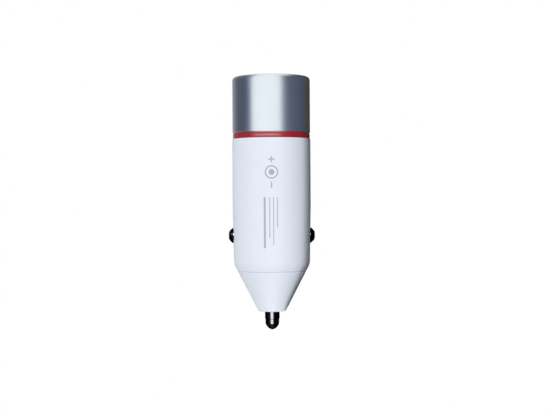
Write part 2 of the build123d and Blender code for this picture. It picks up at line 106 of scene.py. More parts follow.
# %% [markdown]
# ## The studio
# White plastic wants broad soft light, and bright metal shows whatever stands around it. The background
# is white only where a camera or a mirror looks at it. That way it doesn't pour light on the plug. The
# background, and every finish further on, is a small net of nodes. So the first helpers add a node and wire
# it up, which by hand is one drag for each link.


# %% Helpers for nodes
def add_node(tree, kind, inputs=None, **settings):
    """A shader node. An input that is another node's socket is linked, and any other is a plain value."""
    node = tree.nodes.new(f"ShaderNode{kind}")
    for label, value in settings.items():
        setattr(node, label, value)
    for label, value in (inputs or {}).items():
        if isinstance(value, bpy.types.NodeSocket):
            tree.links.new(value, node.inputs[label])
        else:
            node.inputs[label].default_value = value
    return node


def combine(tree, operation, first, second):
    """One number made from two."""
    return add_node(tree, "Math", {0: first, 1: second}, operation=operation).outputs[0]


def remap(tree, value, start, end, low, high):
    """A number that goes from low to high while another goes from start to end."""
    levels = {"Value": value, "From Min": start, "From Max": end, "To Min": low, "To Max": high}
    return add_node(tree, "MapRange", levels).outputs["Result"]


print("Helpers for nodes are ready")


# %% White background
def seen_directly(tree):
    """A value of 1 for rays from the camera, or from a mirror or glass, and 0 for light that bounces."""
    path = add_node(tree, "LightPath").outputs
    mirrored = combine(tree, "MAXIMUM", path["Is Glossy Ray"], path["Is Transmission Ray"])
    return combine(tree, "MAXIMUM", path["Is Camera Ray"], mirrored)


room_light = 0.04
room_tint, white = (0.94, 0.97, 1.0, 1), (1, 1, 1, 1)
world = bpy.data.worlds.new("white_room")
world.use_nodes = True
bpy.context.scene.world = world
tree = world.node_tree
room = tree.nodes["Background"]
room.inputs["Color"].default_value = room_tint
room.inputs["Strength"].default_value = room_light
backdrop = add_node(tree, "Background", {"Color": white})
mix = add_node(tree, "MixShader", {"Fac": seen_directly(tree), 1: room.outputs[0], 2: backdrop.outputs[0]})
tree.links.new(mix.outputs[0], tree.nodes["World Output"].inputs["Surface"])
print("Room light:", room_light)

# %% [markdown]
# The floor is a pale disc well under the plug. It is matt, so it takes the plug's shadow, and it glows a
# little towards the camera. The glow grows towards the rim, which makes the floor run into the background
# without an edge.

# %% Floor disc
floor_drop = 600 * MM
floor_radius = 2
bpy.ops.mesh.primitive_circle_add(
    vertices=96, radius=floor_radius, fill_type="TRIFAN", location=(0, 0, cad_low.z - floor_drop)
)
floor = bpy.context.object
floor.name = "floor"
floor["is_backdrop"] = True
print("Floor lies", floor_drop, "m under the tip")


# %% Floor paper
def bare_paint(piece, name):
    """A new material on a piece with nothing wired up yet: its node tree, and the socket of its surface."""
    paint = bpy.data.materials.new(name)
    paint.use_nodes = True
    tree = paint.node_tree
    tree.nodes.remove(tree.nodes["Principled BSDF"])
    piece.data.materials.append(paint)
    return tree, tree.nodes["Material Output"].inputs["Surface"]


fade_starts, fade_ends = 0.3, 1.0  # metres from the middle
floor_glow, edge_glow = 0.7, 1.0
floor_grey = (0.6, 0.6, 0.6, 1)
tree, surface = bare_paint(floor, "floor paper")
matt = add_node(tree, "BsdfDiffuse", {"Color": floor_grey})
place = add_node(tree, "TexCoord").outputs["Object"]
away = add_node(tree, "VectorMath", {0: place}, operation="LENGTH").outputs["Value"]
fade = remap(tree, away, fade_starts, fade_ends, floor_glow, edge_glow)
glow = add_node(tree, "Emission", {"Strength": combine(tree, "MULTIPLY", seen_directly(tree), fade)})
both = add_node(tree, "AddShader", {0: matt.outputs[0], 1: glow.outputs[0]})
tree.links.new(both.outputs[0], surface)
print("Floor paper glows from", floor_glow, "in the middle to", edge_glow, "at the rim")

# %% [markdown]
# A tall softbox in front, a little to the right, lights most of what the camera sees. A broad one at the
# left carries the light round that side, and others stand behind the right, above and at the back. A
# small one close under the cone does the work of a pale table. Mirrors see none of them, so the metal
# shows only the white room, and the dark card that comes next.


# %% Softboxes
def softbox(name, turn, rise, distance, width, height, brightness):
    """An area light aimed at the plug. Turn is degrees to the right of the camera, and rise is degrees up."""
    around, up = radians(turn), radians(rise)
    towards = Vector((sin(around) * cos(up), -cos(around) * cos(up), sin(up)))
    middle = (cad_low + cad_high) / 2
    bpy.ops.object.light_add(type="AREA", location=middle + towards * distance)
    light = bpy.context.object
    light.name = name
    light.rotation_euler = towards.to_track_quat("Z", "Y").to_euler()
    light.data.shape = "RECTANGLE"
    light.data.size = width
    light.data.size_y = height
    light.data.energy = brightness * pi * width * height
    light.visible_camera = False
    light.visible_glossy = False
    return light


softbox("front_softbox", turn=12, rise=2, distance=0.5, width=0.6, height=1.6, brightness=1.88)
softbox("left_softbox", turn=-104, rise=5, distance=0.6, width=0.8, height=1.0, brightness=2.0)
softbox("right_fill", turn=118, rise=0, distance=0.6, width=0.4, height=1.0, brightness=0.9)
softbox("tip_reflector", turn=40, rise=-78, distance=0.055, width=0.06, height=0.06, brightness=0.32)
softbox("overhead_softbox", turn=-20, rise=80, distance=0.6, width=0.5, height=0.5, brightness=0.8)
softbox("rear_softbox", turn=178, rise=10, distance=0.6, width=0.6, height=0.8, brightness=1.9)

# %% [markdown]
# ## A dark surround for the metal
# A bright cylinder in a white room looks like white paper. Photographers stand dark cards at its sides,
# and the metal then shows one clean bright band with dark flanks. The card here is a tall open tube with
# its front cut away. Only mirrors see it, so it takes no light from the white barrel.


# %% Curved card
def hide_from(piece, *rays):
    """Keep some kinds of ray from meeting a piece of the stage."""
    for ray in rays:
        setattr(piece, f"visible_{ray}", False)


card_opens = (-60, 31)  # degrees to the right of the camera
card_radius = 250 * MM
card_top, card_bottom = 420 * MM, -700 * MM
card_strips = 180
bpy.ops.mesh.primitive_cylinder_add(
    vertices=card_strips, radius=card_radius, depth=card_top - card_bottom, end_fill_type="NOTHING",
    location=(0, 0, (card_top + card_bottom) / 2),
)
card = bpy.context.object
card.name = "dark_card"
bpy.ops.object.mode_set(mode="EDIT")
bpy.ops.mesh.select_all(action="DESELECT")
sheet = bmesh.from_edit_mesh(card.data)
for face in sheet.faces:
    middle = face.calc_center_median()
    turn = atan2(middle.x, -middle.y)
    face.select_set(radians(card_opens[0]) < turn < radians(card_opens[1]))
bmesh.update_edit_mesh(card.data)
bpy.ops.mesh.delete(type="FACE")
bpy.ops.object.mode_set(mode="OBJECT")
hide_from(card, "camera", "diffuse", "transmission", "shadow", "volume_scatter")
card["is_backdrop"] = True
print("Dark card keeps", len(card.data.polygons), "of", card_strips, "strips")

# %% [markdown]
# The card isn't one flat grey. Bluish edges beside its opening tint the flanks of the metal head, and a
# paler patch behind gives the head a bright band from the back too. A colour ramp holds the tones, and a
# radial gradient reads it by the turn.

# %% Card shading
card_tones = [  # degrees to the right of the camera, and the tone there
    (31, (0.30, 0.32, 0.37)),
    (48, (0.10, 0.11, 0.155)),
    (95, (0.075, 0.085, 0.125)),
    (125, (0.06, 0.06, 0.05)),
    (165, (0.04, 0.04, 0.03)),
    (190, (0.45, 0.45, 0.46)),
    (215, (0.30, 0.30, 0.31)),
    (240, (0.10, 0.105, 0.13)),
    (280, (0.07, 0.08, 0.12)),
    (300, (0.16, 0.20, 0.30)),
]
quarter_turn = (0, 0, -pi / 2)  # so that the gradient starts at the camera
tree, surface = bare_paint(card, "card paint")
place = add_node(tree, "TexCoord").outputs["Object"]
turned = add_node(tree, "Mapping", {"Vector": place, "Rotation": quarter_turn}).outputs[0]
round_about = add_node(tree, "TexGradient", {"Vector": turned}, gradient_type="RADIAL")
ramp = add_node(tree, "ValToRGB", {"Fac": round_about.outputs["Fac"]})
while len(ramp.color_ramp.elements) < len(card_tones):
    ramp.color_ramp.elements.new(0.5)
for element, (turn, tone) in zip(ramp.color_ramp.elements, card_tones):
    element.position = turn / 360
    element.color = (*tone, 1)
shine = add_node(tree, "Emission", {"Color": ramp.outputs["Color"]})
tree.links.new(shine.outputs[0], surface)
print("Card tones:", len(card_tones))

# %% [markdown]
# ## A flag beside the white barrel
# White on white needs a darker edge, or the outline melts into the background. A photographer stands a
# narrow black flag close beside the thing, and it keeps the front light off that edge. This one is a strip
# of sheet that follows the barrel and then the cone. A plane gives its upper part, and its lower edge is
# extruded from level to level. It only casts a shadow: neither the camera nor a mirror sees it.

# %% Black flag
barrel_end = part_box("body_shell")[0].z
cone_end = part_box("nose_cone")[0].z
flag_back = -0.5 * MM
flag_levels = [  # how far aside, front edge and height, from the top down
    (13.1 * MM, -12.0 * MM, cad_high.z),
    (13.1 * MM, -12.0 * MM, barrel_end + 1 * MM),
    (11.1 * MM, -10.6 * MM, barrel_end),
    (4.4 * MM, -4.4 * MM, cone_end),
]
aside, front_edge, flag_top = flag_levels[0]
upper_end = flag_levels[1][2]
bpy.ops.mesh.primitive_plane_add(size=1, rotation=(0, pi / 2, 0))
flag = bpy.context.object
flag.name = "black_flag"
bpy.ops.object.transform_apply()
bpy.ops.object.mode_set(mode="EDIT")
bpy.ops.transform.resize(value=(1, flag_back - front_edge, flag_top - upper_end))
bpy.ops.transform.translate(value=(aside, (front_edge + flag_back) / 2, (flag_top + upper_end) / 2))
sheet = bmesh.from_edit_mesh(flag.data)
for corner in sheet.verts:
    corner.select_set(corner.co.z < (flag_top + upper_end) / 2)
sheet.select_flush(False)
bmesh.update_edit_mesh(flag.data)
for level, lower in zip(flag_levels[1:], flag_levels[2:]):
    step = (lower[0] - level[0], (lower[1] - level[1]) / 2, lower[2] - level[2])
    bpy.ops.mesh.extrude_region_move(TRANSFORM_OT_translate={"value": step})
    bpy.ops.transform.resize(value=(1, (flag_back - lower[1]) / (flag_back - level[1]), 1))
bpy.ops.object.mode_set(mode="OBJECT")
hide_from(flag, "camera", "glossy", "transmission", "volume_scatter")
flag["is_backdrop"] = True
print("Flag has", len(flag.data.polygons), "panels, and ends at mm", round(1000 * cone_end, 2))

# %% Flag cloth
cloth_black = (0.005, 0.005, 0.005, 1)
flag_cloth = bpy.data.materials.new("flag cloth")
flag_cloth.use_nodes = True
black = flag_cloth.node_tree.nodes["Principled BSDF"]
black.inputs["Base Color"].default_value = cloth_black
black.inputs["Roughness"].default_value = 1
black.inputs["Specular IOR Level"].default_value = 0
flag.data.materials.append(flag_cloth)
print("Made", flag_cloth.name)

# %% [markdown]
# Two bright strips put the white glints on the black tip and on the side contacts. Light linking keeps
# them off everything else: a collection lists what a lamp may reach.


# %% Glint strips
def glint_strip(name, pieces, turn, rise, width, height, brightness):
    """A softbox that only the gloss of a few pieces can see."""
    strip = softbox(name, turn, rise, distance=0.5, width=width, height=height, brightness=brightness)
    strip.visible_glossy = True
    strip.visible_diffuse = False
    reached = bpy.data.collections.new(f"reached by {name}")
    for piece in pieces:
        reached.objects.link(piece)
    strip.light_linking.receiver_collection = reached
    print(name, "reaches", [piece.name for piece in pieces])


tip_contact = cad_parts["centre_contact"]
side_contacts = [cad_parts[f"ground_contact_{side}"] for side in ("left", "right")]
glint_strip("tip_glint", [tip_contact], turn=-6, rise=-5, width=0.36, height=0.26, brightness=58)
glint_strip("side_glint", side_contacts, turn=-45, rise=20, width=1.0, height=0.22, brightness=150)

# %% [markdown]
# ## Effects that several finishes share
# Moulded plastic has a fine even grain from its mould, turned metal has fine lines round its axis, and
# anything that is handled has faint hazy patches. A finish may also change with the place, as where a part
# has tinned ends. Each effect is a node group that reads Object coordinates. Those are metres here, so a
# scale is the number of features in a metre.


# %% Start of a node group
def effect_group(name, inputs, outputs):
    """A shader node group with its two end nodes. An input is a vector where its value is a tuple."""
    group = bpy.data.node_groups.new(name, "ShaderNodeTree")
    for label, value in inputs.items():
        kind = "NodeSocketVector" if isinstance(value, tuple) else "NodeSocketFloat"
        socket = group.interface.new_socket(label, in_out="INPUT", socket_type=kind)
        socket.default_value = value
    for label in outputs:
        group.interface.new_socket(label, in_out="OUTPUT", socket_type="NodeSocketFloat")
    return group, group.nodes.new("NodeGroupInput"), group.nodes.new("NodeGroupOutput")


print("A group starts with its two end nodes")


# %% Grain of a mould
def mould_grain_group():
    """Fine grain for bump, and a slow cloud for tone."""
    scales = {"Grains per metre": 5000, "Clouds per metre": 90}
    results = ["Grain", "Cloud"]
    group, start, end = effect_group("mould grain", scales, results)
    place = add_node(group, "TexCoord").outputs["Object"]
    for scale, result in zip(scales, results):
        noise = add_node(group, "TexNoise", {"Vector": place, "Scale": start.outputs[scale], "Detail": 3})
        group.links.new(noise.outputs["Fac"], end.inputs[result])
    return group


mould_grain = mould_grain_group()
print("Made", mould_grain.name)


# %% Lines of a lathe or a rolling mill
def drawn_lines_group(name, stretch_by):
    """Fine lines: the noise is stretched where a share of the scale is small."""
    group, start, end = effect_group(name, {"Lines per metre": 9000}, ["Lines"])
    place = add_node(group, "TexCoord").outputs["Object"]
    stretched = add_node(group, "Mapping", {"Vector": place, "Scale": stretch_by}).outputs[0]
    spacing = start.outputs["Lines per metre"]
    noise = add_node(group, "TexNoise", {"Vector": stretched, "Scale": spacing, "Detail": 4})
    group.links.new(noise.outputs["Fac"], end.inputs["Lines"])
    return group


turned_lines = drawn_lines_group("turned lines", (0.02, 0.02, 1))
rolled_lines = drawn_lines_group("rolled lines", (1, 1, 0.02))
print("Made", turned_lines.name, "and", rolled_lines.name)


# %% Haze of handling
def handling_group():
    """Faint hazy patches where fingers have been, from 0 for clean to 1 for hazy."""
    haze_starts, haze_full = 0.45, 0.75
    group, start, end = effect_group("handling", {"Patches per metre": 160}, ["Haze"])
    place = add_node(group, "TexCoord").outputs["Object"]
    spacing = start.outputs["Patches per metre"]
    blots = {"Vector": place, "Scale": spacing, "Detail": 5, "Distortion": 0.8}
    noise = add_node(group, "TexNoise", blots).outputs["Fac"]
    group.links.new(remap(group, noise, haze_starts, haze_full, 0, 1), end.inputs["Haze"])
    return group


handling = handling_group()
print("Made", handling.name)

# %% [markdown]
# Two more groups are masks of a place, one an upright box and one a ball. Each works out how far a point lies
# from its zone, and a narrow ramp turns that distance into 1 inside and 0 outside.


# %% Distance from a zone
def from_zone(group, start, steps):
    """Object coordinates taken through a few vector sums, with the group's inputs as the other terms."""
    vector = add_node(group, "TexCoord").outputs["Object"]
    for operation, label in steps:
        terms = {0: vector, 1: start.outputs[label]} if label else {0: vector}
        vector = add_node(group, "VectorMath", terms, operation=operation).outputs[0]
    return vector


def soft_mask(group, distance, end):
    """A mask of 1 where a distance is below 0, with an edge a fiftieth of a millimetre wide."""
    group.links.new(remap(group, distance, 0, 0.02 * MM, 1, 0), end.inputs["Inside"])


print("Helpers for masks are ready")


# %% A box and a ball
def box_zone_group():
    """A mask that is 1 inside an upright box."""
    group, start, end = effect_group("box zone", {"Centre": (0, 0, 0), "Half size": (1, 1, 1)}, ["Inside"])
    steps = (("SUBTRACT", "Centre"), ("ABSOLUTE", None), ("SUBTRACT", "Half size"))
    sides = add_node(group, "SeparateXYZ", {0: from_zone(group, start, steps)}).outputs
    level = combine(group, "MAXIMUM", sides["X"], sides["Y"])
    soft_mask(group, combine(group, "MAXIMUM", level, sides["Z"]), end)
    return group


def round_zone_group():
    """A mask that is 1 inside a ball. Where Across has a 0, the ball becomes a rod in that direction."""
    values = {"Centre": (0, 0, 0), "Across": (1, 1, 1), "Radius": 1.0}
    group, start, end = effect_group("round zone", values, ["Inside"])
    vector = from_zone(group, start, (("SUBTRACT", "Centre"), ("MULTIPLY", "Across")))
    length = add_node(group, "VectorMath", {0: vector}, operation="LENGTH").outputs["Value"]
    soft_mask(group, combine(group, "SUBTRACT", length, start.outputs["Radius"]), end)
    return group


box_zone = box_zone_group()
round_zone = round_zone_group()
print("Made", box_zone.name, "and", round_zone.name)

# %% [markdown]
# ## Building up a finish
# A finish starts as one shader with plain values. Effects are then placed in its material, and each one
# drives a colour, a value or the bump. By hand that is a row of nodes in the shader editor. Here a short
# helper stands for each kind of link.


# %% A finish and its effects
def finish(name, **values):
    """A new material, with plain values set on its shader's own sockets."""
    material = bpy.data.materials.new(name)
    material.use_nodes = True
    shader = material.node_tree.nodes["Principled BSDF"]
    for label, value in values.items():
        shader.inputs[label.replace("_", " ").title()].default_value = value
    return material


def effect(material, group, **values):
    """Place an effect in a material and give its inputs their values."""
    inputs = {label.replace("_", " ").capitalize(): value for label, value in values.items()}
    return add_node(material.node_tree, "Group", inputs, node_tree=group).outputs


def drive(material, label, source):
    """Link a node's output to a socket of the shader."""
    tree = material.node_tree
    tree.links.new(source, tree.nodes["Principled BSDF"].inputs[label])


print("A finish can be started")


# %% Colour, value and bump
def tint(material, mask, low, high):
    """Base colour that goes from one colour to another with a mask."""
    colours = {"A": (*low, 1), "B": (*high, 1), "Factor": mask}
    mix = add_node(material.node_tree, "Mix", colours, data_type="RGBA")
    drive(material, "Base Color", mix.outputs["Result"])


def span(material, mask, label, low, high):
    """A socket whose value goes from low to high with a mask."""
    drive(material, label, remap(material.node_tree, mask, 0, 1, low, high))


def relief(material, height, depth):
    """Bump of a real depth in metres."""
    bump = add_node(material.node_tree, "Bump", {"Height": height, "Distance": depth})
    drive(material, "Normal", bump.outputs["Normal"])


print("Effects can drive a colour, a value and the bump")

# %% [markdown]
# Some pieces have two stuffs in one, such as a black block with bright legs. A mask says where the second
# stuff lies, and it is laid over whatever feeds the shader already.


# %% A second stuff
def cover(material, mask, colour, **values):
    """Lay a colour and plain values over what feeds those sockets, where the mask is 1."""
    tree = material.node_tree
    for label, value in {"base_color": (*colour, 1), **values}.items():
        title = label.replace("_", " ").title()
        socket = tree.nodes["Principled BSDF"].inputs[title]
        below = socket.links[0].from_socket if socket.is_linked else socket.default_value
        kind = "RGBA" if label == "base_color" else "FLOAT"
        mix = add_node(tree, "Mix", {"A": below, "B": value, "Factor": mask}, data_type=kind)
        drive(material, title, mix.outputs["Result"])


def overlap(material, first, second):
    """A mask that is 1 where both masks are."""
    return combine(material.node_tree, "MULTIPLY", first, second)


def outside(material, mask):
    """A mask that is 1 where another is 0."""
    return combine(material.node_tree, "SUBTRACT", 1, mask)


print("A second stuff can be laid over the first")

# %% [markdown]
# Most finishes are of three kinds, so each kind gets a recipe. Moulded or fired stuff drifts in tone and has
# a grain. Worked metal shows the lines of its making in its tone and bump. Smooth metal has no lines, and
# only its hazy patches show.


# %% Recipe for moulded stuff
def moulded(name, grains, clouds, tones, roughness, depth=None, patches=None, **values):
    """Moulded or fired stuff. Its gloss follows handled patches if it has them, or else the cloud."""
    material = finish(name, **values)
    grain = effect(material, mould_grain, grains_per_metre=grains, clouds_per_metre=clouds)
    tint(material, grain["Cloud"], *tones)
    gloss = effect(material, handling, patches_per_metre=patches)["Haze"] if patches else grain["Cloud"]
    span(material, gloss, "Roughness", *roughness)
    if depth:
        relief(material, grain["Grain"], depth)
    return material


print("Recipe for moulded stuff is ready")


# %% Recipes for metal
def worked_metal(name, lines, spacing, tones, roughness, depth, patches=None, **values):
    """Turned, drawn or rolled metal. Its gloss follows handled patches if it has them, or else the lines."""
    material = finish(name, metallic=1.0, **values)
    drawn = effect(material, lines, lines_per_metre=spacing)["Lines"]
    tint(material, drawn, *tones)
    gloss = effect(material, handling, patches_per_metre=patches)["Haze"] if patches else drawn
    span(material, gloss, "Roughness", *roughness)
    relief(material, drawn, depth)
    return material


def smooth_metal(name, patches, tones, roughness, **values):
    """Metal without lines. Its tone and its gloss both follow the hazy patches."""
    material = finish(name, metallic=1.0, **values)
    haze = effect(material, handling, patches_per_metre=patches)["Haze"]
    tint(material, haze, *tones)
    span(material, haze, "Roughness", *roughness)
    return material


finishes = {}  # by the name of the slot in the parts list
print("Recipes for metal are ready")

# %% [markdown]
# ## White moulding
# The barrel and the nose are white plastic with a cool cast, and a thin clear coat gives them their gloss.
# The tone drifts very slightly, the mould's grain breaks up the gloss, and handled places are a touch
# shinier.

# %% Barrel and nose
white_moulding = moulded(
    "glossy white moulding", grains=5200, clouds=80, patches=160, roughness=(0.42, 0.34), depth=0.004 * MM,
    tones=((0.735, 0.785, 0.88), (0.775, 0.82, 0.91)), coat_weight=0.5, coat_roughness=0.12,
)
finishes["body_white"] = white_moulding
print("Made", white_moulding.name)

# %% [markdown]
# ## Metal head
# The head is a drawn aluminium sleeve with a satin finish. Fine lines run round it, so a reflection
# is drawn out up and down and stays crisp from side to side. The shader's anisotropy does that, and a
# turned-line bump gives the surface its close-up grain.

# %% Head
head_metal = worked_metal(
    "satin aluminium", turned_lines, spacing=9000, patches=120, roughness=(0.34, 0.40), depth=0.0008 * MM,
    tones=((0.80, 0.88, 0.93), (0.85, 0.93, 0.98)), anisotropic=0.6, anisotropic_rotation=0.25,
)
finishes["head_metal"] = head_metal
print("Made", head_metal.name)

# %% [markdown]
# ## Red ring
# The ring is a thin band of glossy red plastic. Its clear coat is what can carry a pale glint over the deep
# red.

# %% Ring
ring_red = moulded(
    "glossy red plastic", grains=4000, clouds=140, roughness=(0.22, 0.30), depth=0.002 * MM,
    tones=((0.33, 0.006, 0.010), (0.40, 0.009, 0.015)), coat_weight=0.6, coat_roughness=0.12,
)
finishes["ring_red"] = ring_red
print("Made", ring_red.name)

# %% [markdown]
# ## Black nickel contacts
# The tip and the two side buttons are turned brass under polished black nickel. It is a very dark mirror,
# so its specular tint is turned down as well as its colour.

# %% Contacts
black_nickel = worked_metal(
    "black nickel", turned_lines, spacing=6000, patches=400, roughness=(0.12, 0.2), depth=0.0001 * MM,
    tones=((0.010, 0.010, 0.011), (0.016, 0.016, 0.017)), specular_tint=(0.25, 0.25, 0.25, 1),
)
finishes["contact_dark"] = black_nickel
print("Made", black_nickel.name)

# %% [markdown]
# ## Ports
# The panel in the head is glossy white plastic. Each port in it has a shield of nickelled sheet steel,
# which shows the lines of the rolling mill, a white tongue, and four contacts. Only the end of a contact
# that meets the plug is gilded. The rest is tinned, and a mask by height makes the change.

# %% Panel, tongues and shields
panel_white = moulded(
    "glossy white panel", grains=3500, clouds=150, patches=500, roughness=(0.24, 0.36), depth=0.002 * MM,
    tones=((0.74, 0.77, 0.81), (0.79, 0.81, 0.84)), coat_weight=0.2, coat_roughness=0.2,
)
tongue_white = moulded(
    "white insert", grains=9000, clouds=500, roughness=(0.45, 0.6), depth=0.004 * MM,
    tones=((0.70, 0.70, 0.67), (0.78, 0.78, 0.75)),
)
nickelled_steel = worked_metal(
    "nickelled steel", rolled_lines, spacing=7000, patches=700, roughness=(0.24, 0.40), depth=0.0015 * MM,
    tones=((0.58, 0.57, 0.54), (0.68, 0.67, 0.64)),
)
finishes.update(panel_white=panel_white, tongue_white=tongue_white, usb_steel=nickelled_steel)
print("Made", [material.name for material in (panel_white, tongue_white, nickelled_steel)])

# %% Gilded contacts
gilded_length = 4.5 * MM
contact_tin = (0.62, 0.61, 0.59)
contact_low, contact_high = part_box("usb_contacts_front")
tin_top = contact_high.z - gilded_length
gilded = worked_metal(
    "gilded contacts", rolled_lines, spacing=9000, roughness=(0.2, 0.32), depth=0.001 * MM,
    tones=((0.80, 0.53, 0.20), (0.88, 0.62, 0.27)),
)
tinned = effect(gilded, box_zone, centre=(0, 0, contact_low.z), half_size=(1, 1, tin_top - contact_low.z))
cover(gilded, tinned["Inside"], contact_tin, roughness=0.38)
finishes["contact_gold"] = gilded
print("Gilded above", round(1000 * tin_top, 2), "mm")

# %% [markdown]
# ## Circuit board
# The board is woven glass in resin under a green lacquer. Copper tracks show through the lacquer as paler
# lines, plated holes show as bright dots, and the sawn edges are bare tan glass. A brick pattern gives the
# tracks, because its joints run straight and turn at right angles, and a cell pattern scatters the holes.

# %% Lacquer and tracks
track_green, track_depth = (0.045, 0.23, 0.075), 0.03 * MM
board = moulded(
    "green circuit board", grains=2500, clouds=250, roughness=(0.35, 0.5),
    tones=((0.006, 0.075, 0.030), (0.012, 0.105, 0.042)), coat_weight=0.25, coat_roughness=0.1,
)
tree = board.node_tree
place = add_node(tree, "TexCoord").outputs["Object"]
on_the_face = (pi / 2, 0, pi / 2)  # turns the patterns from flat to upright
laid = add_node(tree, "Mapping", {"Vector": place, "Rotation": on_the_face}).outputs[0]
layout = {"Vector": laid, "Scale": 1000, "Mortar Size": 0.10, "Brick Width": 6.4, "Row Height": 1.05}
tracks = add_node(tree, "TexBrick", layout).outputs["Fac"]
cover(board, tracks, track_green, roughness=0.3)
relief(board, tracks, track_depth)
finishes["board_green"] = board
print("Made", board.name)

# %% Plated holes and sawn edges
hole_edge, hole_rim = 0.09, 0.10  # shares of a cell
hole_tin, bare_glass = (0.62, 0.61, 0.58), (0.42, 0.36, 0.17)
lacquer_depth = 0.02 * MM
board_low, board_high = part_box("circuit_board")
holes = add_node(tree, "TexVoronoi", {"Vector": laid, "Scale": 420}, voronoi_dimensions="2D")
dots = remap(tree, holes.outputs["Distance"], hole_edge, hole_rim, 1, 0)
cover(board, dots, hole_tin, roughness=0.3, metallic=1.0)
core = effect(board, box_zone, centre=(0, 0, 0), half_size=(1, board_high.y - lacquer_depth, 1))
cover(board, core["Inside"], bare_glass, roughness=0.7, metallic=0.0)
print("Board is", round(1000 * (board_high.z - board_low.z), 1), "mm long")

# %% [markdown]
# ## Parts on the board
# The chip and the rectifier are black epoxy with tinned legs. A box mask round the epoxy leaves the legs
# bright. The chip has its dimple at the first leg and the rectifier has its pale band, which every such
# part has.

# %% Epoxy with tinned legs
leg_tin = (0.66, 0.65, 0.62)
mask_slack = 0.02 * MM


def epoxy_finish(name, body_middle, body_half):
    """Black epoxy inside a box, and tin outside it."""
    epoxy = moulded(
        name, grains=14000, clouds=700, roughness=(0.45, 0.6), depth=0.005 * MM,
        tones=((0.012, 0.012, 0.013), (0.024, 0.024, 0.025)),
    )
    body = effect(epoxy, box_zone, centre=body_middle, half_size=body_half)
    cover(epoxy, outside(epoxy, body["Inside"]), leg_tin, roughness=0.3, metallic=1.0)
    return epoxy


chip_half_width = 1.95 * MM
dimple_grey = (0.05, 0.05, 0.05)
dimple_aside, dimple_up, dimple_radius = -1.2 * MM, 1.75 * MM, 0.3 * MM
chip_low, chip_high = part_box("converter_chip")
chip_middle = (chip_low + chip_high) / 2
chip_epoxy = epoxy_finish("chip epoxy", chip_middle, (chip_half_width + mask_slack, 1, 1))
dimple_place = chip_middle + Vector((dimple_aside, 0, dimple_up))
dimple = effect(chip_epoxy, round_zone, centre=dimple_place, across=(1, 0, 1), radius=dimple_radius)
cover(chip_epoxy, dimple["Inside"], dimple_grey, roughness=0.3)
print("Made", chip_epoxy.name)

# %% Rectifier with its band
strap_height = 0.21 * MM
band_pale = (0.5, 0.5, 0.48)
band_inset, band_depth, band_half = 1.35 * MM, 0.6 * MM, 0.3 * MM
diode_low, diode_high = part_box("rectifier_diode")
diode_middle = (diode_low + diode_high) / 2
diode_top = (diode_middle.x, diode_high.y, diode_middle.z)
strap_top = diode_low.y + strap_height
diode_epoxy = epoxy_finish("rectifier epoxy", diode_top, (1, diode_high.y - strap_top, 1))
band_place = (diode_middle.x, diode_high.y, diode_high.z - band_inset)
pale_band = effect(diode_epoxy, box_zone, centre=band_place, half_size=(1, band_depth, band_half))
cover(diode_epoxy, pale_band["Inside"], band_pale, roughness=0.55)
print("Made", diode_epoxy.name)

# %% [markdown]
# The fuse has a ceramic body between tinned caps. The capacitors are bare aluminium cans that lie along the
# board with their leads upwards. Each has a dark rubber bung at its lead end. A painted half-moon on the
# closed end marks its negative lead.

# %% Fuse
fuse_cap = 1.2 * MM
fuse_low, fuse_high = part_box("input_fuse")
fuse_middle = (fuse_low + fuse_high) / 2
fuse_ceramic = moulded(
    "fuse ceramic", grains=9000, clouds=600, roughness=(0.5, 0.65), depth=0.004 * MM,
    tones=((0.66, 0.65, 0.60), (0.76, 0.75, 0.70)),
)
bare_half = (fuse_high.z - fuse_low.z) / 2 - fuse_cap - mask_slack
bare = effect(fuse_ceramic, box_zone, centre=fuse_middle, half_size=(1, 1, bare_half))
cover(fuse_ceramic, outside(fuse_ceramic, bare["Inside"]), leg_tin, roughness=0.32, metallic=1.0)
finishes["fuse_white"] = fuse_ceramic
print("Made", fuse_ceramic.name)

# %% Capacitor cans
lead_length, bung_radius, end_skin = 1.15 * MM, 2.4 * MM, 0.03 * MM
rubber_black, moon_blue = (0.02, 0.02, 0.02), (0.03, 0.05, 0.16)


def can_finish(name, node):
    """Aluminium can with a rubber bung at its lead end and a painted half-moon at its closed end."""
    low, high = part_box(node)
    middle = (low + high) / 2
    can = worked_metal(
        name, turned_lines, spacing=12000, patches=900, roughness=(0.28, 0.42), depth=0.0008 * MM,
        tones=((0.70, 0.70, 0.71), (0.80, 0.80, 0.81)),
    )
    bung_place = (middle.x, middle.y, high.z - lead_length)
    end_face = effect(can, box_zone, centre=bung_place, half_size=(1, 1, end_skin))
    hollow = effect(can, round_zone, centre=middle, across=(1, 1, 0), radius=bung_radius)
    bung = overlap(can, end_face["Inside"], hollow["Inside"])
    cover(can, bung, rubber_black, roughness=0.7, metallic=0.0)
    moon_place, moon_half = (low.x, middle.y, low.z), (middle.x - low.x, 1, end_skin)
    half_moon = effect(can, box_zone, centre=moon_place, half_size=moon_half)
    cover(can, half_moon["Inside"], moon_blue, roughness=0.4, metallic=0.0)
    return can


can_input = can_finish("input can", "input_capacitor")
can_output = can_finish("output can", "output_capacitor")
print("Made", can_input.name, "and", can_output.name)

# %% [markdown]
# The drum of the inductor is sintered ferrite, which is dark, dull and a little grainy, and the small chip
# parts are fired ceramic. The springs are drawn steel. The terminal is rolled brass, whose tarnish follows
# the hazy patches. The winding is enamelled copper, a metal under a clear brown coat, and solder is tin.

